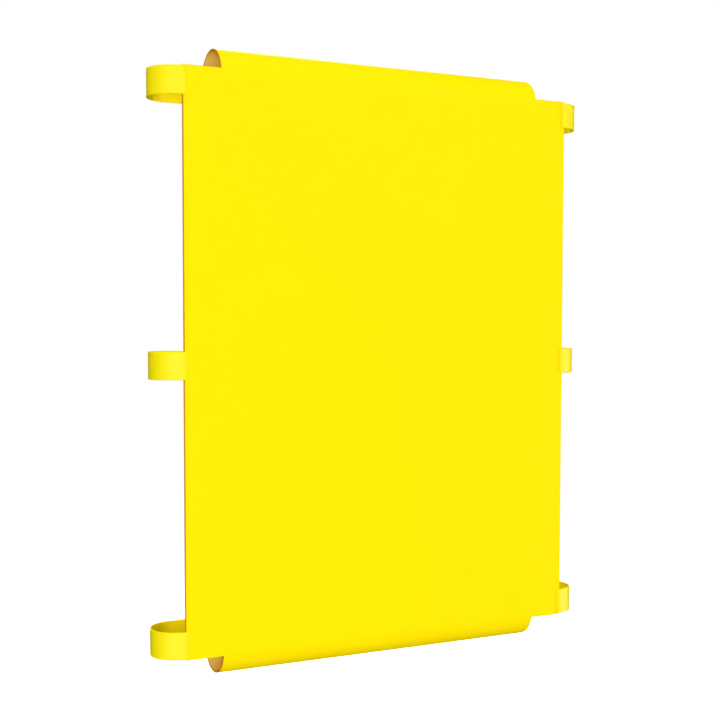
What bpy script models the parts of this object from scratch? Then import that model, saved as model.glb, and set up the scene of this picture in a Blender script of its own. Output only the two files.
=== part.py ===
"""Sling panel for a tube-frame stretcher or spine board: a coated-fabric bed sheet with a pole sleeve
along its top and bottom edges and webbing loops down both sides.

Frame: metres, +Z up, the patient side faces -Y, X runs across. The origin is the middle of the axis of
the tube that fills the top sleeve. Everything below is one half or one corner, mirrored in X and in
the panel's middle height, so each sub-part is drawn once.
"""

import math

import bmesh
import bpy

# Driving dimensions.
PANEL_WIDTH = 0.406
PANEL_HEIGHT = 0.528
SLEEVE_RADIUS = 0.02665  # outside of the sheet, round the tube
SLEEVE_WIDTH = 0.3358
NOTCH_RISE = 0.0053  # the side edges end this far above the tube's axis
FACE_PLY = 0.0011
LINING_PLY = 0.0006
GAP = 0.0003  # between pieces that touch

# How a sleeve closes on the back of the panel.
RETURN_ANGLE = math.radians(50)  # slope of the sheet's run from the tube back to the panel
RETURN_BEND = 0.010
FLAP_LENGTH = 0.024

# Webbing.
STRAP_WIDTH = 0.025
STRAP_THICKNESS = 0.0013
STRAP_LAP = 0.0032  # how far its front end lies over the panel
STRAP_INSET = 0.0009  # below the panel's top edge
LOOP_RADIUS = 0.0238
LOOP_OFFSET = 0.0007  # the loop's centre stands this far outside the panel's edge
LOOP_SETBACK = 0.0015  # and this far behind the circle that its lap would touch
LOOP_BACK_CORNER = 0.016
LOOP_BACK_REACH = 0.0334  # how far inboard of the panel's edge a middle loop closes
STRAP_ON_SLEEVE = 0.024
LEAVE_EDGE = 0.015  # a corner strap runs straight this far inboard before it climbs the sleeve

# Reinforcement and thread.
STRIP_THICKNESS = 0.0010
STRIP_MARGIN = 0.0012  # between the strip's inner side and the sleeve
STRIP_EDGE = 0.0002  # between its outer side and the panel's edge
STRIP_END_MARGIN = 0.003
THREAD_RADIUS = 0.00025
THREAD_CLEARANCE = 0.0011  # room over the strip for a thread under the strap's tail

ARC_STEP = math.radians(7.5)
STRAP_COLUMNS = 6
NOTCH_BLEND = 0.001

# Derived places.
HALF_WIDTH = PANEL_WIDTH / 2
HALF_SLEEVE = SLEEVE_WIDTH / 2
FRONT = -SLEEVE_RADIUS
SHEET_THICKNESS = FACE_PLY + GAP + LINING_PLY
BACK = FRONT + SHEET_THICKNESS
MIDDLE = NOTCH_RISE - PANEL_HEIGHT / 2
STRIP_BACK = BACK + GAP + STRIP_THICKNESS
TAIL_FRONT = STRIP_BACK + THREAD_CLEARANCE
STRAP_TOP = NOTCH_RISE - STRAP_INSET


def clear_scene():
    for obj in list(bpy.data.objects):
        bpy.data.objects.remove(obj, do_unlink=True)


def make_collection(name):
    collection = bpy.data.collections.new(name)
    bpy.context.scene.collection.children.link(collection)
    return collection


def make_material(name, colour, roughness):
    material = bpy.data.materials.new(name)
    material.use_nodes = True
    shader = material.node_tree.nodes["Principled BSDF"]
    shader.inputs["Base Color"].default_value = (*colour, 1)
    shader.inputs["Roughness"].default_value = roughness
    shader.inputs["Metallic"].default_value = 0
    return material


def link_mesh(name, mesh, collection, material):
    mesh.materials.append(material)
    obj = bpy.data.objects.new(name, mesh)
    collection.objects.link(obj)
    return obj


def surface_mesh(name, rows, flip):
    """A sheet from rows of points of equal length; flip turns its faces over."""
    bm = bmesh.new()
    grid = [[bm.verts.new(point) for point in row] for row in rows]
    for low, high in zip(grid, grid[1:]):
        for i in range(len(low) - 1):
            corners = [low[i], low[i + 1], high[i + 1], high[i]]
            bm.faces.new(corners[::-1] if flip else corners)
    mesh = bpy.data.meshes.new(name)
    bm.to_mesh(mesh)
    bm.free()
    return mesh


def thicken(obj, thickness):
    """Gives a surface its thickness on the side its normals point away from."""
    shell = obj.modifiers.new("thickness", "SOLIDIFY")
    shell.thickness = thickness
    shell.offset = -1
    shell.use_even_offset = True


def shade_round(obj):
    obj.data.shade_smooth()
    obj.data.set_sharp_from_angle(angle=math.radians(30))


def arc(centre, radius, start, end):
    """Points on a circle from one angle to another, both ends included."""
    steps = max(1, math.ceil(abs(end - start) / ARC_STEP))
    angles = [start + (end - start) * i / steps for i in range(steps + 1)]
    return [(centre[0] + radius * math.cos(a), centre[1] + radius * math.sin(a)) for a in angles]


def sleeve_profile(depth):
    """(y, z) of the sheet from the notch line round the top sleeve to the flap's end.

    depth is how far under the yellow outer face the line lies.
    """
    radius = SLEEVE_RADIUS - depth
    bend = RETURN_BEND + depth
    notch_angle = math.pi - math.asin(NOTCH_RISE / SLEEVE_RADIUS)
    wrap = arc((0, 0), radius, notch_angle, -RETURN_ANGLE)
    slope_y, slope_z = -math.sin(RETURN_ANGLE), -math.cos(RETURN_ANGLE)
    flap_y = BACK + GAP + SHEET_THICKNESS - depth
    bend_start_y = flap_y + bend * (1 - math.cos(RETURN_ANGLE))
    run = (bend_start_y - wrap[-1][0]) / slope_y
    bend_start_z = wrap[-1][1] + run * slope_z
    bend_centre = (flap_y + bend, bend_start_z - bend * math.sin(RETURN_ANGLE))
    fold = arc(bend_centre, bend, math.pi - RETURN_ANGLE, math.pi)
    return wrap + fold + [(flap_y, bend_centre[1] - FLAP_LENGTH)]


def bed_ply_rows(depth):
    """Rows of points of one ply of the bed: (tongue rows, panel rows), bottom to top."""
    profile = sleeve_profile(depth)
    tongue = [[(x, y, z) for x in (-HALF_SLEEVE, HALF_SLEEVE)] for y, z in profile]
    radius = SLEEVE_RADIUS - depth
    tangent = (-radius, 0.0)
    upper = [tangent, profile[0]]
    columns = [HALF_WIDTH, HALF_SLEEVE + NOTCH_BLEND, HALF_SLEEVE]
    panel = []
    for y, z in upper:
        side = NOTCH_RISE if z > 0 else 0.0
        flat = [(x, -radius, side) for x in columns[:2]]
        panel.append([(-x, a, b) for x, a, b in flat] + [(-HALF_SLEEVE, y, z), (HALF_SLEEVE, y, z)] + flat[::-1])
    return tongue, panel


def mirror_in_height(row):
    return [(x, y, 2 * MIDDLE - z) for x, y, z in row]


def make_bed_ply(name, depth, thickness, collection, material):
    """One ply of the bed: the flat panel between two tongues that wrap the tubes."""
    tongue, panel = bed_ply_rows(depth)
    bm = bmesh.new()

    def add_rows(rows):
        grid = [[bm.verts.new(point) for point in row] for row in rows]
        for low, high in zip(grid, grid[1:]):
            for i in range(len(low) - 1):
                bm.faces.new([low[i], low[i + 1], high[i + 1], high[i]])

    add_rows([mirror_in_height(row) for row in reversed(panel)] + panel)
    add_rows(tongue)
    add_rows([mirror_in_height(row) for row in reversed(tongue)])
    bmesh.ops.remove_doubles(bm, verts=bm.verts, dist=1e-6)
    mesh = bpy.data.meshes.new(name)
    bm.to_mesh(mesh)
    bm.free()
    obj = link_mesh(name, mesh, collection, material)
    thicken(obj, thickness)
    shade_round(obj)
    return obj


def loop_front():
    """(x, y) of a strap's outer face on the right-hand side: its lap, a short straight run that slants
    back from the panel's edge, and the round outside."""
    lap_y = FRONT - GAP - STRAP_THICKNESS
    leave = (HALF_WIDTH + GAP, lap_y)
    centre = (HALF_WIDTH + LOOP_OFFSET, lap_y + LOOP_SETBACK + LOOP_RADIUS)
    reach = math.hypot(centre[0] - leave[0], centre[1] - leave[1])
    bearing = math.atan2(centre[1] - leave[1], centre[0] - leave[0])
    slant = bearing - math.asin(LOOP_RADIUS / reach)
    outside = arc(centre, LOOP_RADIUS, slant - math.pi / 2, math.pi / 2)
    return [(HALF_WIDTH - STRAP_LAP, lap_y), leave] + outside


def middle_loop_path():
    """The closed D of a middle strap: its tail comes back out along the panel's back."""
    path = loop_front()
    far_y = path[-1][1]
    corner = LOOP_BACK_CORNER
    corner_x = HALF_WIDTH - LOOP_BACK_REACH + corner
    path += arc((corner_x, far_y - corner), corner, math.pi / 2, math.pi)
    path += arc((corner_x, TAIL_FRONT + corner), corner, math.pi, 1.5 * math.pi)
    return path + [(HALF_WIDTH - STRIP_MARGIN, TAIL_FRONT)]


def placed(points, side, upper):
    """Points drawn for the upper right corner, put on the side (+1 or -1) and end they are for."""
    moved = [(side * x, y, z) for x, y, z in points]
    return moved if upper else mirror_in_height(moved)


def make_strap(name, rows, side, upper, collection, material):
    rows = [placed(row, side, upper) for row in rows]
    mesh = surface_mesh(name, rows, flip=(side > 0) == upper)
    obj = link_mesh(name, mesh, collection, material)
    thicken(obj, STRAP_THICKNESS)
    shade_round(obj)
    return obj


def make_middle_strap(name, side, collection, material):
    top, bottom = MIDDLE + STRAP_WIDTH / 2, MIDDLE - STRAP_WIDTH / 2
    rows = [[(x, y, bottom), (x, y, top)] for x, y in middle_loop_path()]
    return make_strap(name, rows, side, True, collection, material)


def smooth_step(value):
    value = min(1.0, max(0.0, value))
    return value * value * (3 - 2 * value)


def make_corner_strap(name, side, upper, collection, material):
    """A corner strap: its back end leaves the loop, climbs the sleeve and follows its round back."""
    heights = [STRAP_TOP - STRAP_WIDTH * i / STRAP_COLUMNS for i in range(STRAP_COLUMNS, -1, -1)]
    path = loop_front()
    far_y = path[-1][1]
    rows = [[(x, y, z) for z in heights] for x, y in path]
    on_sleeve = SLEEVE_RADIUS + GAP + STRAP_THICKNESS
    leave = HALF_WIDTH - LEAVE_EDGE
    arrive = HALF_SLEEVE + STRIP_MARGIN
    climb_steps = 9
    for i in range(climb_steps + 1):
        share = i / climb_steps
        x = leave + (arrive - leave) * share
        lift = smooth_step(share)
        rows.append([(x, far_y + (math.sqrt(on_sleeve**2 - z * z) - far_y) * lift, z) for z in heights])
    end = HALF_SLEEVE - STRAP_ON_SLEEVE
    rows.append([(end, math.sqrt(on_sleeve**2 - z * z), z) for z in heights])
    return make_strap(name, rows, side, upper, collection, material)


def make_edge_strip(name, side, collection, material):
    """The reinforcement behind a side edge: it fills the width that the notches leave free."""
    inner, outer = HALF_SLEEVE + STRIP_MARGIN, HALF_WIDTH - STRIP_EDGE
    length = PANEL_HEIGHT - 2 * STRIP_END_MARGIN
    mesh = bpy.data.meshes.new(name)
    bm = bmesh.new()
    bmesh.ops.create_cube(bm, size=1)
    bmesh.ops.scale(bm, verts=bm.verts, vec=(outer - inner, STRIP_THICKNESS, length))
    bm.to_mesh(mesh)
    bm.free()
    obj = link_mesh(name, mesh, collection, material)
    obj.location = (side * (inner + outer) / 2, STRIP_BACK - STRIP_THICKNESS / 2, MIDDLE)
    return obj


def make_thread(name, points, collection, material):
    """A seam's thread as one closed run of thin cord, lying on the surface it is sewn into."""
    curve = bpy.data.curves.new(name, "CURVE")
    curve.dimensions = "3D"
    curve.bevel_depth = THREAD_RADIUS
    curve.bevel_resolution = 1
    spline = curve.splines.new("POLY")
    spline.points.add(len(points) - 1)
    for place, point in zip(spline.points, points):
        place.co = (*point, 1)
    spline.use_cyclic_u = True
    curve.materials.append(material)
    obj = bpy.data.objects.new(name, curve)
    collection.objects.link(obj)
    return obj


def rectangle(x0, x1, z0, z1, y):
    return [(x0, y, z0), (x1, y, z0), (x1, y, z1), (x0, y, z1)]


THREAD_LIFT = GAP + THREAD_RADIUS


def sleeve_seam_points():
    """Two rows along the flap, joined at their ends."""
    flap_end = sleeve_profile(0)[-1][1]
    y = BACK + GAP + SHEET_THICKNESS + THREAD_LIFT
    end_margin, low_row, high_row = 0.006, 0.004, 0.020
    half = HALF_SLEEVE - end_margin
    return rectangle(-half, half, flap_end + low_row, flap_end + high_row, y)


def edge_seam_points():
    """Two rows along a reinforcement strip, joined at their ends."""
    inner, outer = HALF_SLEEVE + 0.005, HALF_WIDTH - 0.005
    half = PANEL_HEIGHT / 2 - 0.008
    return rectangle(inner, outer, MIDDLE - half, MIDDLE + half, STRIP_BACK + THREAD_LIFT)


def middle_strap_seam_points():
    """The box of stitches through a middle strap's tail."""
    inner, outer = HALF_WIDTH - 0.0165, HALF_WIDTH - 0.0040
    half = STRAP_WIDTH / 2 - 0.004
    y = TAIL_FRONT + STRAP_THICKNESS + THREAD_LIFT
    return rectangle(inner, outer, MIDDLE - half, MIDDLE + half, y)


def corner_strap_seam_points():
    """The box of stitches through a corner strap's end, bent round the sleeve's back."""
    radius = SLEEVE_RADIUS + GAP + STRAP_THICKNESS + THREAD_LIFT
    high, low = STRAP_TOP - 0.004, STRAP_TOP - STRAP_WIDTH + 0.004
    count = 8
    heights = [high + (low - high) * i / count for i in range(count + 1)]
    outer, inner = HALF_SLEEVE - 0.004, HALF_SLEEVE - 0.020
    down = [(outer, math.sqrt(radius**2 - z * z), z) for z in heights]
    up = [(inner, math.sqrt(radius**2 - z * z), z) for z in reversed(heights)]
    return down + up


def build():
    clear_scene()
    parts = make_collection("sling_panel")
    coated = make_material("coated_face", (0.95, 0.83, 0.01), 0.5)
    canvas = make_material("canvas_lining", (0.62, 0.42, 0.18), 0.9)
    webbing = make_material("webbing", (0.93, 0.90, 0.02), 0.4)
    strip = make_material("edge_strip", (0.90, 0.76, 0.01), 0.55)
    thread = make_material("thread", (0.92, 0.80, 0.03), 0.5)

    make_bed_ply("bed_face_ply", 0.0, FACE_PLY, parts, coated)
    make_bed_ply("bed_lining_ply", FACE_PLY + GAP, LINING_PLY, parts, canvas)
    for end, upper in (("top", True), ("bottom", False)):
        make_thread(f"{end}_sleeve_thread", placed(sleeve_seam_points(), 1, upper), parts, thread)
    for hand, side in (("left", -1), ("right", 1)):
        make_edge_strip(f"{hand}_edge_strip", side, parts, strip)
        make_thread(f"{hand}_strip_thread", placed(edge_seam_points(), side, True), parts, thread)
        make_middle_strap(f"{hand}_middle_strap", side, parts, webbing)
        box = placed(middle_strap_seam_points(), side, True)
        make_thread(f"{hand}_middle_strap_thread", box, parts, thread)
        for end, upper in (("top", True), ("bottom", False)):
            make_corner_strap(f"{hand}_{end}_strap", side, upper, parts, webbing)
            box = placed(corner_strap_seam_points(), side, upper)
            make_thread(f"{hand}_{end}_strap_thread", box, parts, thread)


build()
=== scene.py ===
"""The looks of the sling panel: yellow coated fabric lined with tan canvas, webbing loops and stitching.

Everything is in metres in the CAD frame: +Z up, the patient side faces -Y, and the origin is the middle of
the axis of the tube that fills the top sleeve. The bottom half mirrors the top one in the panel's middle
height. The left half mirrors the right one, apart from SLEEVE_SHIFT, LEFT_TRIM and LEFT_CUT_SHADE_BAND.
"""

import math

import bmesh
import bpy
from mathutils import Matrix, Vector


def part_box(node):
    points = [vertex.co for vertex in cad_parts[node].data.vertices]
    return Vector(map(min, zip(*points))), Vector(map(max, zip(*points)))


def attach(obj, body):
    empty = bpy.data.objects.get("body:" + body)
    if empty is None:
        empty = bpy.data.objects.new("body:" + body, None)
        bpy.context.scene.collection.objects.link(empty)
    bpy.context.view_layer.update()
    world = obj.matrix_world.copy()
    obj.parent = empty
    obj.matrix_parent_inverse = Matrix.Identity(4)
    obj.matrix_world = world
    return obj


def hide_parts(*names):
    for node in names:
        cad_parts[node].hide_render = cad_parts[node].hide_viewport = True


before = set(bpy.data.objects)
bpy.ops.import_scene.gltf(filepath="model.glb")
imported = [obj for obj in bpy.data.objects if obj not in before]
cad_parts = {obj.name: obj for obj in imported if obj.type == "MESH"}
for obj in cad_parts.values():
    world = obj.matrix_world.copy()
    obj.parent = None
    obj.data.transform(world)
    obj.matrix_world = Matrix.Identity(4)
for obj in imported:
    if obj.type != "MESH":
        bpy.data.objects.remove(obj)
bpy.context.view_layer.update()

# ---------------------------------------------------------------- places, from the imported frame

face_low, face_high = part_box("bed_face_ply")
strip_low, strip_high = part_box("right_edge_strip")
ring_low, ring_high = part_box("right_middle_strap")
corner_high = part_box("right_top_strap")[1]

# How the CAD solids were laid out. The boxes give the rest.
SHEET_THICKNESS = 0.0020
STRAP_THICKNESS = 0.0013
STRIP_MARGIN = 0.0012
STRIP_END_MARGIN = 0.003
STRAP_LAP = 0.0032
LOOP_SETBACK = 0.0015
LOOP_BACK_CORNER = 0.016
STRAP_ON_SLEEVE = 0.024
LEAVE_EDGE = 0.015
RETURN_ANGLE = math.radians(50)
RETURN_BEND = 0.010
FLAP_LENGTH = 0.024
TAIL_GAP = 0.0011  # from a strip's back to a middle strap's tail

HALF_WIDTH = face_high.x
MIDDLE = (face_low.z + face_high.z) / 2
SLEEVE_RADIUS = -face_low.y
FRONT = -SLEEVE_RADIUS
BACK = FRONT + SHEET_THICKNESS
HALF_SLEEVE = strip_low.x - STRIP_MARGIN
NOTCH_RISE = strip_high.z + STRIP_END_MARGIN
STRIP_BACK = strip_high.y
STRAP_WIDTH = ring_high.z - ring_low.z + 0.0003  # a little over the nominal width follows the outline
STRAP_TOP = corner_high.z
LOOP_RADIUS = (ring_high.y - ring_low.y - LOOP_SETBACK) / 2
LOOP_CENTRE_X = ring_high.x - LOOP_RADIUS
LOOP_BACK_X = ring_low.x
TAIL_FRONT = STRIP_BACK + TAIL_GAP

# ---------------------------------------------------------------- cloth

SEAT = 0.00005  # left between layers that lie on each other
FACE_PLY = 0.00125
LINING_PLY = 0.0007
CELL = 0.008
ARC_STEP = math.radians(3)
NOTCH_BLEND = 0.008  # width over which a side wing eases from flat into the sleeve's curve
SLEEVE_SHIFT = 0.0008  # both sleeves are moved this far to the right to follow the outline
LEFT_TRIM = 0.0003  # and the left edge this far inwards
LEFT_CUT_SHADE_BAND = 0.0008  # width of face along the left-hand cuts that takes the cut's dark colour as painted shade, widening the shaded edge line
STRIP_TRIM = 0.0004  # by which the strips end short of the CAD's outer edge
PLY_RIM_SHARE = 0.18  # of a ply's thickness that its rims are rounded over
STRIP_RIM = 0.0002

STITCH_PITCH = 0.0036
STITCH_LENGTH = 0.0031
THREAD_RADIUS = 0.00022
GROOVE_DEPTH = 0.00010
GROOVE_WIDTH = 0.0007


def smooth_step(value):
    value = min(1.0, max(0.0, value))
    return value * value * (3 - 2 * value)


def mirrored(point, side=1, upper=True):
    """A point of the upper right corner, put on the side (+1 or -1) and end it is for."""
    return Vector((side * point[0], point[1], point[2] if upper else 2 * MIDDLE - point[2]))


def arc(centre, radius, start, end, step=ARC_STEP):
    steps = max(1, math.ceil(abs(end - start) / step))
    angles = [start + (end - start) * i / steps for i in range(steps + 1)]
    return [(centre[0] + radius * math.cos(a), centre[1] + radius * math.sin(a)) for a in angles]


# The line that the yellow face follows over the panel's upper half, cut through at X = 0. It is a chain of
# stations (y, z, outward y, outward z, distance along the cloth from the panel's middle).

def sleeve_stations():
    """Stations from the tube's tangent point, round the tube and down to the end of the flap."""
    stations = []
    distance = -MIDDLE

    def add(y, z, angle):
        nonlocal distance
        if stations:
            distance += math.hypot(y - stations[-1][0], z - stations[-1][1])
        stations.append((y, z, math.cos(angle), math.sin(angle), distance))

    turn = math.pi + RETURN_ANGLE
    steps = math.ceil(turn / ARC_STEP)
    for i in range(steps + 1):
        angle = math.pi - turn * i / steps
        add(SLEEVE_RADIUS * math.cos(angle), SLEEVE_RADIUS * math.sin(angle), angle)
    flap_y = BACK + SEAT + SHEET_THICKNESS
    bend_start_y = flap_y + RETURN_BEND * (1 - math.cos(RETURN_ANGLE))
    y, z = stations[-1][:2]
    run = (y - bend_start_y) / math.sin(RETURN_ANGLE)
    run_cells = math.ceil(run / CELL)
    for i in range(1, run_cells + 1):
        share = run / run_cells * i
        add(y - share * math.sin(RETURN_ANGLE), z - share * math.cos(RETURN_ANGLE), -RETURN_ANGLE)
    bend_z = stations[-1][1] - RETURN_BEND * math.sin(RETURN_ANGLE)
    bend_steps = math.ceil(RETURN_ANGLE / ARC_STEP)
    for i in range(1, bend_steps + 1):
        left = RETURN_ANGLE * (1 - i / bend_steps)
        add(flap_y + RETURN_BEND * (1 - math.cos(left)), bend_z + RETURN_BEND * math.sin(left), -left)
    return stations


STATIONS = sleeve_stations()
FLAP_TOP_Z = STATIONS[-1][1]
FLAP_END_Z = FLAP_TOP_Z - FLAP_LENGTH
FLAP_FACE_Y = STATIONS[-1][0]
FLAP_START = STATIONS[-1][4]
HALF_LENGTH = FLAP_START + FLAP_LENGTH
FLAP_ROWS = (FLAP_END_Z + 0.004, FLAP_END_Z + 0.020)
SLEEVE_SEAM_HALF = HALF_SLEEVE - 0.006
STRIP_SEAM_INSET = 0.005
STRIP_SEAM_X = (HALF_SLEEVE + STRIP_SEAM_INSET, HALF_WIDTH - STRIP_SEAM_INSET)
STRIP_SEAM_HALF = (NOTCH_RISE - MIDDLE) - 0.008
STRAP_SEAM_INSET = 0.004  # from a strap's edges and ends to its box of stitches
MIDDLE_BOX_LENGTH = 0.0125
CORNER_BOX_LENGTH = 0.016


def along_cloth(distance):
    """(y, z, outward y, outward z) of the yellow face at a distance up the cloth from the panel's middle."""
    if distance <= STATIONS[0][4]:
        return FRONT, MIDDLE + distance, -1.0, 0.0
    if distance >= FLAP_START:
        return FLAP_FACE_Y, FLAP_TOP_Z - (distance - FLAP_START), 1.0, 0.0
    for low, high in zip(STATIONS, STATIONS[1:]):
        if distance <= high[4]:
            share = (distance - low[4]) / (high[4] - low[4])
            y, z, out_y, out_z = (low[i] + (high[i] - low[i]) * share for i in range(4))
            scale = math.hypot(out_y, out_z)
            return y, z, out_y / scale, out_z / scale
    raise ValueError(distance)


def spaced(marks, cell):
    """Values from the first mark to the last, through every mark, no further apart than the cell."""
    marks = sorted(marks)
    values = [marks[0]]
    for high in marks[1:]:
        low = values[-1]
        if high - low > 1e-6:
            count = math.ceil((high - low) / cell - 1e-6)
            values += [low + (high - low) * i / count for i in range(1, count + 1)]
    return values


def around(centre):
    """Grid lines that a seam's groove needs on both sides of its line."""
    return [centre + GROOVE_WIDTH * k for k in (-2, -1, -0.5, 0, 0.5, 1, 2)]


def groove(place, seams):
    """How deep seams at these places pull the cloth in."""
    return GROOVE_DEPTH * sum(math.exp(-(((place - seam) / (GROOVE_WIDTH * 0.8)) ** 2)) for seam in seams)


LEFT_EDGE = LEFT_TRIM - HALF_WIDTH


def bed_grid():
    """Column places across the cloth and row distances along it, shared by both plies."""
    edges = [0.0, SLEEVE_SEAM_HALF, HALF_SLEEVE, HALF_SLEEVE + NOTCH_BLEND]
    edges += [HALF_SLEEVE + NOTCH_BLEND * share for share in (0.2, 0.4, 0.6, 0.8)]
    marks = [sign * value for value in edges for sign in (1, -1)]
    marks += [LEFT_EDGE, LEFT_EDGE + LEFT_CUT_SHADE_BAND, LEFT_CUT_SHADE_BAND - HALF_SLEEVE, HALF_WIDTH]
    columns = spaced(marks, CELL)
    notch = -MIDDLE + SLEEVE_RADIUS * math.asin(NOTCH_RISE / SLEEVE_RADIUS)
    rows = [0.0, notch, HALF_LENGTH] + [station[4] for station in STATIONS]
    for row in FLAP_ROWS:
        rows += [FLAP_START + FLAP_TOP_Z - value for value in around(row)]
    rows = spaced(rows, CELL)
    rows = [-value for value in reversed(rows[1:])] + rows
    return columns, rows, notch


def bed_point(x, distance, depth, notch, grooved):
    """A point of the bed, depth under the yellow face."""
    upper = distance >= 0
    height = abs(distance)
    y, z, out_y, out_z = along_cloth(height)
    wing = smooth_step((abs(x) - HALF_SLEEVE) / NOTCH_BLEND)
    near_notch = smooth_step(1 + (height - notch) / 0.012)
    moved_x = x + SLEEVE_SHIFT * near_notch * min(1.0, (HALF_WIDTH - abs(x)) / (HALF_WIDTH - HALF_SLEEVE))
    if height <= notch and wing > 0:
        flat_z = MIDDLE + height
        if height > STATIONS[0][4]:
            flat_z = NOTCH_RISE * (height - STATIONS[0][4]) / (notch - STATIONS[0][4])
        y, z = y + (FRONT - y) * wing, z + (flat_z - z) * wing
        out_y, out_z = out_y + (-1 - out_y) * wing, out_z * (1 - wing)
        scale = math.hypot(out_y, out_z)
        out_y, out_z = out_y / scale, out_z / scale
    if grooved and height > FLAP_START:
        depth += groove(z, FLAP_ROWS)
    return mirrored((moved_x, y - out_y * depth, z - out_z * depth), 1, upper)


# ---------------------------------------------------------------- mesh building

def new_piece(name, bm, materials, node, smooth_angle=40):
    """Makes a mesh object of a bmesh and ties it to the frame in place of its CAD node."""
    mesh = bpy.data.meshes.new(name)
    bm.to_mesh(mesh)
    bm.free()
    for material in materials:
        mesh.materials.append(material)
    mesh.shade_smooth()
    mesh.set_sharp_from_angle(angle=math.radians(smooth_angle))
    piece = bpy.data.objects.new(name, mesh)
    bpy.context.scene.collection.objects.link(piece)
    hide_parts(node)
    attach(piece, "root")
    return piece


def round_rims(piece, width):
    """Softens the cut rims of a sheet; the rounded corners show the raw cut."""
    bevel = piece.modifiers.new("soft_rims", "BEVEL")
    bevel.limit_method = "ANGLE"
    bevel.angle_limit = math.radians(60)
    bevel.width = width
    bevel.segments = 2
    bevel.harden_normals = True
    bevel.material = 1


def thick_sheet(outer, inner, uvs, present=lambda i, j: True, banded=lambda i, j: False):
    """A closed sheet between two matching grids. Rims and banded cells take the second material."""
    bm = bmesh.new()
    layer = bm.loops.layers.uv.new("cloth")
    tops, bottoms = {}, {}
    rows, columns = len(outer), len(outer[0])

    def corner(store, grid, key):
        if key not in store:
            store[key] = bm.verts.new(grid[key[0]][key[1]])
        return store[key]

    def face(corners, keys, material=0):
        made = bm.faces.new(corners)
        made.material_index = material
        for loop, (i, j) in zip(made.loops, keys):
            loop[layer].uv = uvs[i][j]

    cells = {(i, j) for i in range(rows - 1) for j in range(columns - 1) if present(i, j)}
    for i, j in sorted(cells):
        keys = [(i, j), (i, j + 1), (i + 1, j + 1), (i + 1, j)]
        face([corner(tops, outer, key) for key in keys], keys, int(banded(i, j)))
        face([corner(bottoms, inner, key) for key in reversed(keys)], keys[::-1])
        sides = (((i - 1, j), keys[0], keys[1]), ((i, j + 1), keys[1], keys[2]),
                 ((i + 1, j), keys[2], keys[3]), ((i, j - 1), keys[3], keys[0]))
        for neighbour, start, end in sides:
            if neighbour not in cells:
                ring = [tops[end], tops[start], corner(bottoms, inner, start), corner(bottoms, inner, end)]
                face(ring, [end, start, start, end], 1)
    bmesh.ops.recalc_face_normals(bm, faces=bm.faces)
    return bm


def add_stitch(bm, start, end, out):
    """One stitch: a short thread that dips into the cloth at both ends."""
    layer = bm.loops.layers.uv.verify()
    run = end - start
    side = run.normalized().cross(out)
    sides = 6
    rings = []
    for share, height in ((0.0, -1.1), (0.14, 0.05), (0.5, 0.35), (0.86, 0.05), (1.0, -1.1)):
        centre = start + run * share + out * (height * THREAD_RADIUS)
        turns = [2 * math.pi * k / sides for k in range(sides)]
        spokes = [side * math.cos(a) + out * math.sin(a) for a in turns]
        rings.append([bm.verts.new(centre + spoke * THREAD_RADIUS) for spoke in spokes])
    for along, (low, high) in enumerate(zip(rings, rings[1:])):
        for k in range(sides):
            after = (k + 1) % sides
            made = bm.faces.new([low[k], low[after], high[after], high[k]])
            corners = ((k, along), (k + 1, along), (k + 1, along + 1), (k, along + 1))
            for loop, (turn, step) in zip(made.loops, corners):
                loop[layer].uv = (turn / sides, step / 4 * run.length)
    bm.faces.new(rings[0][::-1])
    bm.faces.new(rings[-1])


def sew(bm, path, outs, closed=False):
    """Stitches along a line of points; outs are the directions out of the cloth at those points."""
    if closed:
        path, outs = path + path[:1], outs + outs[:1]
    lengths = [0.0]
    for a, b in zip(path, path[1:]):
        lengths.append(lengths[-1] + (b - a).length)
    count = max(1, round(lengths[-1] / STITCH_PITCH))
    pitch = lengths[-1] / count

    def at(distance):
        for i in range(len(path) - 1):
            if distance <= lengths[i + 1] or i == len(path) - 2:
                share = (distance - lengths[i]) / (lengths[i + 1] - lengths[i])
                return path[i].lerp(path[i + 1], share), outs[i].lerp(outs[i + 1], share).normalized()

    spare = (pitch - STITCH_LENGTH * pitch / STITCH_PITCH) / 2
    for k in range(count):
        start, out = at(k * pitch + spare)
        end, _ = at((k + 1) * pitch - spare)
        add_stitch(bm, start, end, out)


def straight(start, end, out):
    return [Vector(start), Vector(end)], [Vector(out), Vector(out)]


# ---------------------------------------------------------------- materials

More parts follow.
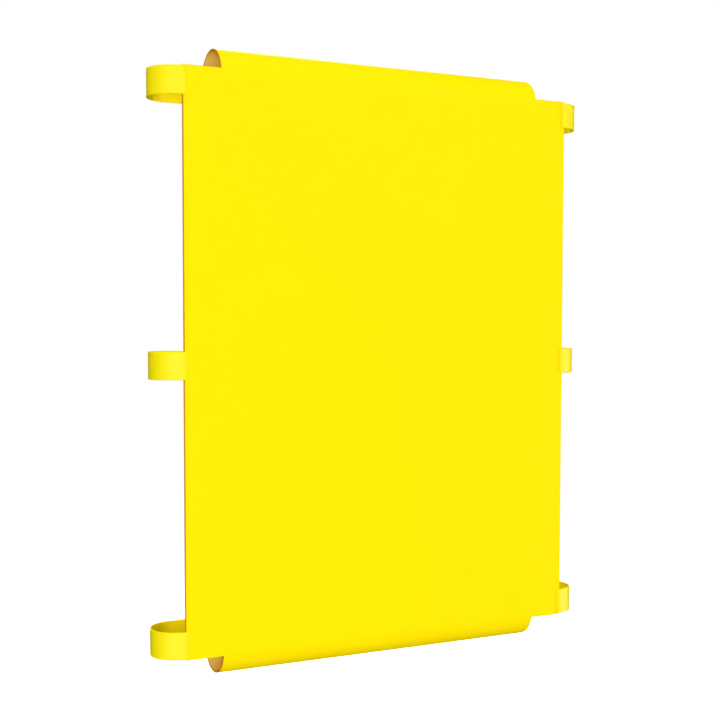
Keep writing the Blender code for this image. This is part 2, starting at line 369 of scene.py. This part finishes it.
class Nodes:
    """Short calls for building one material's nodes."""

    def __init__(self, name, colour, roughness, specular):
        self.material = bpy.data.materials.new(name)
        self.material.use_nodes = True
        self.tree = self.material.node_tree
        self.shader = self.tree.nodes["Principled BSDF"]
        self.shader.inputs["Base Color"].default_value = (*colour, 1)
        self.shader.inputs["Roughness"].default_value = roughness
        self.shader.inputs["Specular IOR Level"].default_value = specular
        self.colour = colour

    def node(self, kind, **settings):
        made = self.tree.nodes.new(kind)
        for name, value in settings.items():
            setattr(made, name, value)
        return made

    def join(self, source, target):
        if isinstance(source, (int, float)):
            target.default_value = source
        else:
            self.tree.links.new(source, target)

    def math(self, operation, first, second=0.0, third=0.0):
        made = self.node("ShaderNodeMath", operation=operation)
        for value, socket in zip((first, second, third), made.inputs):
            self.join(value, socket)
        return made.outputs[0]

    def cloth(self):
        """The cloth's own flat coordinates in metres: across it, along it."""
        uv = self.node("ShaderNodeUVMap", uv_map="cloth")
        split = self.node("ShaderNodeSeparateXYZ")
        self.join(uv.outputs["UV"], split.inputs[0])
        return uv.outputs["UV"], split.outputs["X"], split.outputs["Y"]

    def noise(self, vector, size, detail=2.0):
        """Noise from 0 to 1 whose lumps are about size metres across."""
        made = self.node("ShaderNodeTexNoise")
        self.join(vector, made.inputs["Vector"])
        made.inputs["Scale"].default_value = 1 / size
        made.inputs["Detail"].default_value = detail
        return made.outputs["Fac"]

    def ribs(self, value, pitch):
        """Rounded ribs from 0 to 1, one every pitch metres."""
        wave = self.math("SINE", self.math("MULTIPLY", value, math.pi / pitch))
        return self.math("ABSOLUTE", wave)

    def between(self, factor, low, high):
        """A colour from low to high as the factor goes from 0 to 1."""
        made = self.node("ShaderNodeMix", data_type="RGBA")
        self.join(factor, made.inputs["Factor"])
        made.inputs["A"].default_value = (*low, 1)
        made.inputs["B"].default_value = (*high, 1)
        return made.outputs["Result"]

    def over(self, factor, under, colour):
        """A colour laid over another by the factor."""
        made = self.node("ShaderNodeMix", data_type="RGBA")
        self.join(factor, made.inputs["Factor"])
        self.join(under, made.inputs["A"])
        made.inputs["B"].default_value = (*colour, 1)
        return made.outputs["Result"]

    def range(self, value, low, high, from_low=0.0, from_high=1.0):
        made = self.node("ShaderNodeMapRange")
        self.join(value, made.inputs["Value"])
        made.inputs["From Min"].default_value = from_low
        made.inputs["From Max"].default_value = from_high
        made.inputs["To Min"].default_value = low
        made.inputs["To Max"].default_value = high
        return made.outputs["Result"]

    def bump(self, height, depth):
        """Relief of the given depth in metres from a height of 0 to 1."""
        made = self.node("ShaderNodeBump")
        made.inputs["Strength"].default_value = 1.0
        made.inputs["Distance"].default_value = depth
        self.join(height, made.inputs["Height"])
        self.join(made.outputs["Normal"], self.shader.inputs["Normal"])


def tinted(colour, scale):
    return tuple(min(1.0, channel * factor) for channel, factor in zip(colour, scale))


COATED = (0.91, 0.688, 0.001)
STRIP_COLOUR = (0.91, 0.678, 0.001)
WEBBING = (0.885, 0.745, 0.003)
CANVAS = (0.99, 0.66, 0.145)
THREAD = (0.82, 0.45, 0.02)


def coated_fabric(name, colour):
    """Soft vinyl coating: fine leathery grain, the scrim just showing through, faint handling marks."""
    nodes = Nodes(name, colour, 0.5, 0.025)
    cloth, across, along = nodes.cloth()
    grain = nodes.noise(cloth, 0.0007, 3.0)
    scrim = nodes.math("MULTIPLY", nodes.ribs(across, 0.0011), nodes.ribs(along, 0.0011))
    height = nodes.math("ADD", nodes.math("MULTIPLY", grain, 0.7), nodes.math("MULTIPLY", scrim, 0.3))
    nodes.bump(height, 0.00004)
    mottle = nodes.noise(cloth, 0.045, 4.0)
    base = nodes.between(mottle, tinted(colour, (0.995, 0.985, 1)), tinted(colour, (1.0, 1.01, 1)))
    specks = nodes.range(grain, 0.0, 0.25, 0.62, 0.75)
    nodes.join(nodes.over(specks, base, tinted(colour, (0.97, 0.93, 1))), nodes.shader.inputs["Base Color"])
    nodes.join(nodes.range(mottle, 0.46, 0.56), nodes.shader.inputs["Roughness"])
    return nodes.material


def cut_edge_and_shade_band():
    """The raw cut through the coated sheet, where its scrim shows; also laid as painted shade along the front
    of the left-hand cuts.
    """
    colour = (0.60, 0.235, 0.005)
    nodes = Nodes("cut_edge_and_shade_band", colour, 0.85, 0.1)
    cloth, across, along = nodes.cloth()
    fray = nodes.noise(cloth, 0.0006, 3.0)
    nodes.join(nodes.between(fray, tinted(colour, (0.8, 0.7, 0.7)), tinted(colour, (1.25, 1.3, 1.3))),
               nodes.shader.inputs["Base Color"])
    nodes.bump(fray, 0.0001)
    return nodes.material


def canvas_weave():
    """Plain-woven canvas: every other crossing shows the warp, the rest the weft."""
    nodes = Nodes("canvas_weave", CANVAS, 0.9, 0.04)
    cloth, across, along = nodes.cloth()
    pitch = 0.0009
    warp, weft = nodes.ribs(across, pitch), nodes.ribs(along, pitch)
    checker = nodes.node("ShaderNodeTexChecker")
    nodes.join(cloth, checker.inputs["Vector"])
    checker.inputs["Scale"].default_value = 1 / pitch
    crossing = checker.outputs["Fac"]
    over_warp = nodes.math("MULTIPLY", crossing, nodes.math("MULTIPLY", warp, nodes.math("ADD", weft, 0.5)))
    other = nodes.math("SUBTRACT", 1.0, crossing)
    over_weft = nodes.math("MULTIPLY", other, nodes.math("MULTIPLY", weft, nodes.math("ADD", warp, 0.5)))
    height = nodes.math("MULTIPLY", nodes.math("ADD", over_warp, over_weft), 0.67)
    slub = nodes.noise(cloth, 0.004, 4.0)
    nodes.bump(nodes.math("ADD", height, nodes.math("MULTIPLY", slub, 0.3)), 0.00018)
    shade = nodes.math("ADD", nodes.math("MULTIPLY", height, 0.6), nodes.math("MULTIPLY", slub, 0.4))
    nodes.join(nodes.between(shade, tinted(CANVAS, (0.93, 0.88, 0.8)), tinted(CANVAS, (1.0, 1.08, 1.15))),
               nodes.shader.inputs["Base Color"])
    return nodes.material


def webbing_weave():
    """Woven polyester webbing: a fine herringbone whose yarns run across and along it, and matt selvedges."""
    nodes = Nodes("webbing_weave", WEBBING, 0.42, 0.17)
    cloth, across, along = nodes.cloth()
    zigzag = nodes.node("ShaderNodeMath", operation="PINGPONG")
    nodes.join(across, zigzag.inputs[0])
    zigzag.inputs[1].default_value = STRAP_WIDTH / 8
    slanted = nodes.math("ADD", along, zigzag.outputs[0])
    twill = nodes.ribs(slanted, 0.0011)
    yarns = nodes.ribs(across, 0.0006)
    height = nodes.math("ADD", nodes.math("MULTIPLY", twill, 0.6), nodes.math("MULTIPLY", yarns, 0.4))
    nodes.bump(height, 0.00006)
    streaks = nodes.noise(cloth, 0.012, 3.0)
    shade = nodes.math("ADD", nodes.math("MULTIPLY", height, 0.5), nodes.math("MULTIPLY", streaks, 0.5))
    nodes.join(nodes.between(shade, tinted(WEBBING, (0.96, 0.94, 1)), tinted(WEBBING, (1.02, 1.04, 1))),
               nodes.shader.inputs["Base Color"])
    nodes.join(nodes.range(height, 0.5, 0.38), nodes.shader.inputs["Roughness"])
    half = STRAP_WIDTH / 2
    sheen = nodes.range(nodes.math("ABSOLUTE", across), 0.17, 0.0, half - 0.0015, half - 0.0006)
    nodes.join(sheen, nodes.shader.inputs["Specular IOR Level"])
    return nodes.material


def sewing_thread():
    """Bonded thread with the slanting lines of its twist."""
    nodes = Nodes("sewing_thread", THREAD, 0.5, 0.3)
    cloth, around_thread, along = nodes.cloth()
    slant = nodes.math("ADD", nodes.math("MULTIPLY", around_thread, 0.0008), along)
    twist = nodes.ribs(slant, 0.0004)
    nodes.bump(twist, 0.00003)
    nodes.join(nodes.between(twist, tinted(THREAD, (0.9, 0.84, 1)), tinted(THREAD, (1.02, 1.05, 1))),
               nodes.shader.inputs["Base Color"])
    return nodes.material


coated = coated_fabric("coated_fabric", COATED)
strip_cloth = coated_fabric("strip_fabric", STRIP_COLOUR)
raw_edge_and_shade_band = cut_edge_and_shade_band()
canvas = canvas_weave()
webbing = webbing_weave()
thread = sewing_thread()

# ---------------------------------------------------------------- the bed's two plies

def make_bed_ply(name, node, top, thickness, grooved, materials):
    columns, rows, notch = bed_grid()
    outer = [[bed_point(x, row, top, notch, grooved) for x in columns] for row in rows]
    inner = [[bed_point(x, row, top + thickness, notch, False) for x in columns] for row in rows]
    uvs = [[(x, row) for x in columns] for row in rows]

    def present(i, j):
        in_panel = abs(rows[i] + rows[i + 1]) / 2 < notch
        in_tongue = abs(columns[j] + columns[j + 1]) / 2 < HALF_SLEEVE
        return in_panel or in_tongue

    # Painted shade: on the face ply, a band along the left-hand cuts takes the dark cut colour, standing in
    # for the shaded left edge.
    def banded(i, j):
        in_panel = abs(rows[i] + rows[i + 1]) / 2 < notch
        cut = LEFT_EDGE if in_panel else -HALF_SLEEVE
        return grooved and cut <= (columns[j] + columns[j + 1]) / 2 < cut + LEFT_CUT_SHADE_BAND

    bm = thick_sheet(outer, inner, uvs, present, banded)
    piece = new_piece(name, bm, materials, node)
    round_rims(piece, thickness * PLY_RIM_SHARE)
    return piece


face_ply = make_bed_ply("face_cloth", "bed_face_ply", 0.0, FACE_PLY, True, [coated, raw_edge_and_shade_band])
lining_ply = make_bed_ply("lining_cloth", "bed_lining_ply", FACE_PLY + SEAT, LINING_PLY,
                          False, [canvas, raw_edge_and_shade_band])

# ---------------------------------------------------------------- edge strips

def make_edge_strip(hand, side):
    """The reinforcement behind a side edge."""
    inner_x, outer_x = strip_low.x, strip_high.x - STRIP_TRIM
    half = strip_high.z - MIDDLE
    columns = spaced([inner_x, outer_x] + [value for seam in STRIP_SEAM_X for value in around(seam)], CELL)
    rows = spaced([-half, half], CELL)
    front_y = BACK + SEAT
    outer, inner, uvs = [], [], []
    for row in rows:
        sunk = [groove(x, STRIP_SEAM_X) for x in columns]
        outer.append([Vector((side * x, STRIP_BACK - deep, MIDDLE + row)) for x, deep in zip(columns, sunk)])
        inner.append([Vector((side * x, front_y, MIDDLE + row)) for x in columns])
        uvs.append([(x, row) for x in columns])
    bm = thick_sheet(outer, inner, uvs)
    piece = new_piece(f"{hand}_strip_cloth", bm, [strip_cloth, raw_edge_and_shade_band], f"{hand}_edge_strip")
    round_rims(piece, STRIP_RIM)
    return piece


# ---------------------------------------------------------------- straps

LAP_FACE_Y = FRONT - SEAT - STRAP_THICKNESS
LOOP_CENTRE = (LOOP_CENTRE_X, LAP_FACE_Y + LOOP_SETBACK + LOOP_RADIUS)
ON_SLEEVE = SLEEVE_RADIUS + SEAT + STRAP_THICKNESS
SELVEDGE = STRAP_THICKNESS / 2
END_TAPER = 0.0017  # over which a strap's melted end thins out
STRAP_STEP = 0.002


def loop_front():
    """(x, y) of a right-hand strap's outer face: its lap, a run that slants back, and the round outside."""
    bend_run = 0.0009  # from the panel's edge to the crease that the bend rounds off
    across = LOOP_CENTRE[0] - HALF_WIDTH - bend_run
    back = LOOP_CENTRE[1] - LAP_FACE_Y
    slant = math.atan2(back, across) - math.asin(LOOP_RADIUS / math.hypot(across, back))
    bend_radius = bend_run / math.tan(slant / 2)
    bend = arc((HALF_WIDTH, LAP_FACE_Y + bend_radius), bend_radius, -math.pi / 2, slant - math.pi / 2)
    outside = arc(LOOP_CENTRE, LOOP_RADIUS, slant - math.pi / 2, math.pi / 2)
    return [(HALF_WIDTH - STRAP_LAP, LAP_FACE_Y)] + bend + outside


def strap_heights():
    """Places across a strap from its middle, close together at the rounded selvedges."""
    half = STRAP_WIDTH / 2
    rim = [half - SELVEDGE * (1 - math.sin(math.radians(a))) for a in (0, 22.5, 45, 67.5, 90)]
    flat = spaced([-rim[0], rim[0]], 0.003)
    return [-value for value in reversed(rim[1:])] + flat + rim[1:]


def refined(path, step):
    """The path with points added so that none lie further apart than the step."""
    points = [path[0]]
    for start, end in zip(path, path[1:]):
        count = max(1, math.ceil(math.dist(start, end) / step))
        points += [tuple(a + (b - a) * i / count for a, b in zip(start, end)) for i in range(1, count + 1)]
    return points


def middle_strap_rows(heights):
    """The closed D of a middle strap: its tail comes back out along the panel's back."""
    far_y = LOOP_CENTRE[1] + LOOP_RADIUS
    corner = LOOP_BACK_CORNER
    path = loop_front()
    path += arc((LOOP_BACK_X + corner, far_y - corner), corner, math.pi / 2, math.pi)
    path += arc((LOOP_BACK_X + corner, TAIL_FRONT + corner), corner, math.pi, 1.5 * math.pi)
    path += [(HALF_WIDTH - STRIP_MARGIN, TAIL_FRONT)]
    return [[Vector((x, y, MIDDLE + h)) for h in heights] for x, y in with_rounded_ends(path)]


def with_rounded_ends(path):
    """The refined path, with the close points that a strap's rounded cut ends need."""
    path = refined(path, STRAP_STEP)
    close = [END_TAPER * share for share in (0.04, 0.13, 0.3, 0.6, 1.0)]

    def at_end(end, after):
        length = math.dist(end, after)
        return [tuple(a + (b - a) * near / length for a, b in zip(end, after)) for near in close]

    first, last = at_end(path[0], path[1]), at_end(path[-1], path[-2])
    return [path[0]] + first + path[1:-1] + last[::-1] + [path[-1]]


def corner_strap_rows(heights):
    """A corner strap: its back end leaves the loop, climbs the sleeve and follows its round back."""
    middle = STRAP_TOP - STRAP_WIDTH / 2
    far_y = LOOP_CENTRE[1] + LOOP_RADIUS
    leave, arrive = HALF_WIDTH - LEAVE_EDGE, HALF_SLEEVE + STRIP_MARGIN
    end = HALF_SLEEVE - STRAP_ON_SLEEVE
    climb_steps = 16
    climb = [leave + (arrive - leave) * i / climb_steps for i in range(climb_steps + 1)]
    path = loop_front() + [(x, far_y) for x in climb] + [(end, far_y)]

    def place(x, y, height):
        z = middle + height
        share = smooth_step((leave - x) / (leave - arrive)) if y > 0 else 0.0
        return Vector((x, y + (math.sqrt(ON_SLEEVE**2 - z * z) - y) * share, z))

    return [[place(x, y, h) for h in heights] for x, y in with_rounded_ends(path)]


def outward(rows, i, j):
    """The direction out of a strap's outer face at a point of its grid."""
    along = rows[min(i + 1, len(rows) - 1)][j] - rows[max(i - 1, 0)][j]
    across = rows[i][min(j + 1, len(rows[i]) - 1)] - rows[i][max(j - 1, 0)]
    return along.cross(across).normalized()


def trim_fins(bm):
    """Drops the faces of no thickness that the melted ends leave at their corners."""
    while True:
        fins = [face for face in bm.faces if any(edge.is_boundary for edge in face.edges)]
        if not fins:
            return
        bmesh.ops.delete(bm, geom=fins, context="FACES")


def make_strap(name, node, rows, heights, side, upper):
    """A strap with rounded selvedges and melted ends, from the points of its outer face."""
    lengths = [0.0]
    centre = len(heights) // 2
    for low, high in zip(rows, rows[1:]):
        lengths.append(lengths[-1] + (high[centre] - low[centre]).length)
    half = STRAP_WIDTH / 2
    outer, inner, uvs = [], [], []
    for i, row in enumerate(rows):
        outer.append([])
        inner.append([])
        uvs.append([(h, lengths[i]) for h in heights])
        for j, point in enumerate(row):
            from_side = 1 - min(1.0, (half - abs(heights[j])) / SELVEDGE)
            from_end = 1 - min(1.0, min(lengths[i], lengths[-1] - lengths[i]) / END_TAPER)
            reach = min(1.0, math.hypot(from_side, from_end))
            sunk = SELVEDGE * (1 - math.sqrt(1 - reach * reach))
            out = outward(rows, i, j)
            outer[-1].append(mirrored(point - out * sunk, side, upper))
            inner[-1].append(mirrored(point - out * (STRAP_THICKNESS - sunk), side, upper))
    bm = thick_sheet(outer, inner, uvs)
    bmesh.ops.remove_doubles(bm, verts=bm.verts, dist=1e-6)
    trim_fins(bm)
    bmesh.ops.recalc_face_normals(bm, faces=bm.faces)
    piece = new_piece(name, bm, [webbing, webbing], node, smooth_angle=60)
    return piece, lengths[-1]


# ---------------------------------------------------------------- seams

def make_seam(name, node, lines, side=1, upper=True):
    """The stitches of a seam; each line is (points, directions out of the cloth), for the upper right."""
    bm = bmesh.new()
    bm.loops.layers.uv.new("cloth")
    for points, outs in lines:
        placed_outs = [Vector((side * out.x, out.y, out.z if upper else -out.z)) for out in outs]
        sew(bm, [mirrored(point, side, upper) for point in points], placed_outs)
    bmesh.ops.recalc_face_normals(bm, faces=bm.faces)
    return new_piece(name, bm, [thread], node, smooth_angle=75)


def sleeve_seam_lines():
    """Two rows that hold a flap down. The photo's front shows no seams, so they are seen on the flap only."""
    y = FLAP_FACE_Y - GROOVE_DEPTH
    return [straight((-SLEEVE_SEAM_HALF, y, row), (SLEEVE_SEAM_HALF, y, row), (0, 1, 0)) for row in FLAP_ROWS]


def strip_seam_lines():
    """Two rows along a reinforcement strip, seen on the strip only."""
    y = STRIP_BACK - GROOVE_DEPTH
    low, high = MIDDLE - STRIP_SEAM_HALF, MIDDLE + STRIP_SEAM_HALF
    return [straight((x, y, low), (x, y, high), (0, 1, 0)) for x in STRIP_SEAM_X]


def boxed_cross(corners, surface):
    """A box of stitches with a cross in it, laid on a surface that gives points and directions out."""
    a, b, c, d = corners
    lines = []
    for start, end in ((a, b), (b, c), (c, d), (d, a), (a, c), (b, d)):
        steps = 12
        spots = [tuple(p + (q - p) * i / steps for p, q in zip(start, end)) for i in range(steps + 1)]
        placed = [surface(*spot) for spot in spots]
        lines.append(([point for point, _ in placed], [out for _, out in placed]))
    return lines


def middle_strap_seam_lines():
    """The crossed box through a middle strap's tail."""
    outer = HALF_WIDTH - STRAP_SEAM_INSET
    inner = outer - MIDDLE_BOX_LENGTH
    reach = STRAP_WIDTH / 2 - STRAP_SEAM_INSET
    low, high = MIDDLE - reach, MIDDLE + reach
    y = TAIL_FRONT + STRAP_THICKNESS

    def surface(x, z):
        return Vector((x, y, z)), Vector((0, 1, 0))

    return boxed_cross(((inner, low), (outer, low), (outer, high), (inner, high)), surface)


def corner_strap_seam_lines():
    """The crossed box through a corner strap's end, bent round the sleeve's back."""
    low, high = STRAP_TOP - STRAP_WIDTH + STRAP_SEAM_INSET, STRAP_TOP - STRAP_SEAM_INSET
    outer = HALF_SLEEVE - STRAP_SEAM_INSET
    inner = outer - CORNER_BOX_LENGTH

    def surface(x, z):
        y = math.sqrt(ON_SLEEVE**2 - z * z)
        return Vector((x, y, z)), Vector((0, y, z)).normalized()

    return boxed_cross(((inner, low), (outer, low), (outer, high), (inner, high)), surface)


top_sleeve_seam = make_seam("top_sleeve_stitches", "top_sleeve_thread", sleeve_seam_lines())
bottom_sleeve_seam = make_seam("bottom_sleeve_stitches", "bottom_sleeve_thread", sleeve_seam_lines(),
                               upper=False)

for hand, side in (("left", -1), ("right", 1)):
    strip = make_edge_strip(hand, side)
    strip_seam = make_seam(f"{hand}_strip_stitches", f"{hand}_strip_thread", strip_seam_lines(), side)
    heights = strap_heights()
    middle_name = f"{hand}_middle_strap"
    strap, length = make_strap(f"{middle_name}_webbing", middle_name, middle_strap_rows(heights), heights,
                               side, True)
    seam = make_seam(f"{middle_name}_stitches", f"{middle_name}_thread", middle_strap_seam_lines(), side)
    for end, upper in (("top", True), ("bottom", False)):
        corner_name = f"{hand}_{end}_strap"
        strap, length = make_strap(f"{corner_name}_webbing", corner_name, corner_strap_rows(heights), heights,
                                   side, upper)
        seam = make_seam(f"{corner_name}_stitches", f"{corner_name}_thread", corner_strap_seam_lines(), side,
                         upper)

# ---------------------------------------------------------------- floor, light and camera

FLOOR_HEIGHT = -1.5
FLOOR_SIZE = 40
SOFTBOX_DISTANCE = 4.0
SOFTBOX_SIZE = 2.2


def make_floor():
    bm = bmesh.new()
    bmesh.ops.create_grid(bm, x_segments=1, y_segments=1, size=FLOOR_SIZE)
    mesh = bpy.data.meshes.new("floor")
    bm.to_mesh(mesh)
    bm.free()
    nodes = Nodes("pale_floor", (0.9, 0.9, 0.9), 0.8, 0.2)
    nodes.shader.inputs["Emission Color"].default_value = (1, 1, 1, 1)
    nodes.shader.inputs["Emission Strength"].default_value = 1.0
    mesh.materials.append(nodes.material)
    floor = bpy.data.objects.new("floor", mesh)
    floor.location.z = FLOOR_HEIGHT
    bpy.context.scene.collection.objects.link(floor)
    floor.visible_diffuse = False
    floor.visible_glossy = False
    floor.visible_shadow = False


def direction(azimuth, elevation):
    """Azimuth 0 is in front of the panel and grows towards its right; elevation is above the horizon."""
    a, e = math.radians(azimuth), math.radians(elevation)
    return Vector((math.sin(a) * math.cos(e), -math.cos(a) * math.cos(e), math.sin(e)))


def make_softbox(name, azimuth, elevation, power):
    light = bpy.data.lights.new(name, "AREA")
    light.shape = "DISK"
    light.size = SOFTBOX_SIZE
    light.energy = power
    lamp = bpy.data.objects.new(name, light)
    toward = direction(azimuth, elevation)
    lamp.location = Vector((0, 0, MIDDLE)) + toward * SOFTBOX_DISTANCE
    lamp.rotation_mode = "QUATERNION"
    lamp.rotation_quaternion = toward.to_track_quat("Z", "Y")
    lamp.visible_camera = False
    bpy.context.scene.collection.objects.link(lamp)


def make_world(ambient):
    """White to the camera; the light that it sheds is set apart."""
    world = bpy.data.worlds.new("white_studio")
    bpy.context.scene.world = world
    world.use_nodes = True
    tree = world.node_tree
    background = tree.nodes["Background"]
    background.inputs["Color"].default_value = (1, 1, 1, 1)
    path = tree.nodes.new("ShaderNodeLightPath")
    strength = tree.nodes.new("ShaderNodeMapRange")
    tree.links.new(path.outputs["Is Camera Ray"], strength.inputs["Value"])
    strength.inputs["To Min"].default_value = ambient
    strength.inputs["To Max"].default_value = 1.0
    tree.links.new(strength.outputs["Result"], background.inputs["Strength"])


CAMERA_OFFSET = Vector((-0.53867, -1.02778, 0.03683))  # from the middle of the panel's front
CAMERA_YAW = math.radians(26.362)  # to the right of straight at the panel
CAMERA_PITCH = math.radians(2.876)  # downward
CAMERA_ROLL = math.radians(0.086)


def make_camera():
    data = bpy.data.cameras.new("camera")
    data.lens = 60.60
    data.sensor_width = 36
    data.shift_y = 0.0354
    camera = bpy.data.objects.new("camera", data)
    turn = Matrix.Rotation(-CAMERA_YAW, 4, "Z") @ Matrix.Rotation(math.pi / 2 - CAMERA_PITCH, 4, "X")
    turn = turn @ Matrix.Rotation(CAMERA_ROLL, 4, "Z")
    camera.matrix_world = Matrix.Translation(Vector((0, FRONT, MIDDLE)) + CAMERA_OFFSET) @ turn
    bpy.context.scene.collection.objects.link(camera)
    bpy.context.scene.camera = camera


make_floor()
make_world(0.0)
make_softbox("key", -30, -5, 98)
make_softbox("right_key", 30, 25, 62)
make_softbox("low_left", -50, -45, 66)
make_softbox("high_left", -50, 60, 62)
make_softbox("right_side", 70, -10, 84)
make_softbox("rear", 165, 25, 195)
make_softbox("rear_left", -120, 60, 38)
make_softbox("overhead", 0, 89, 40)
make_camera()
bpy.context.scene.view_settings.view_transform = "Standard"
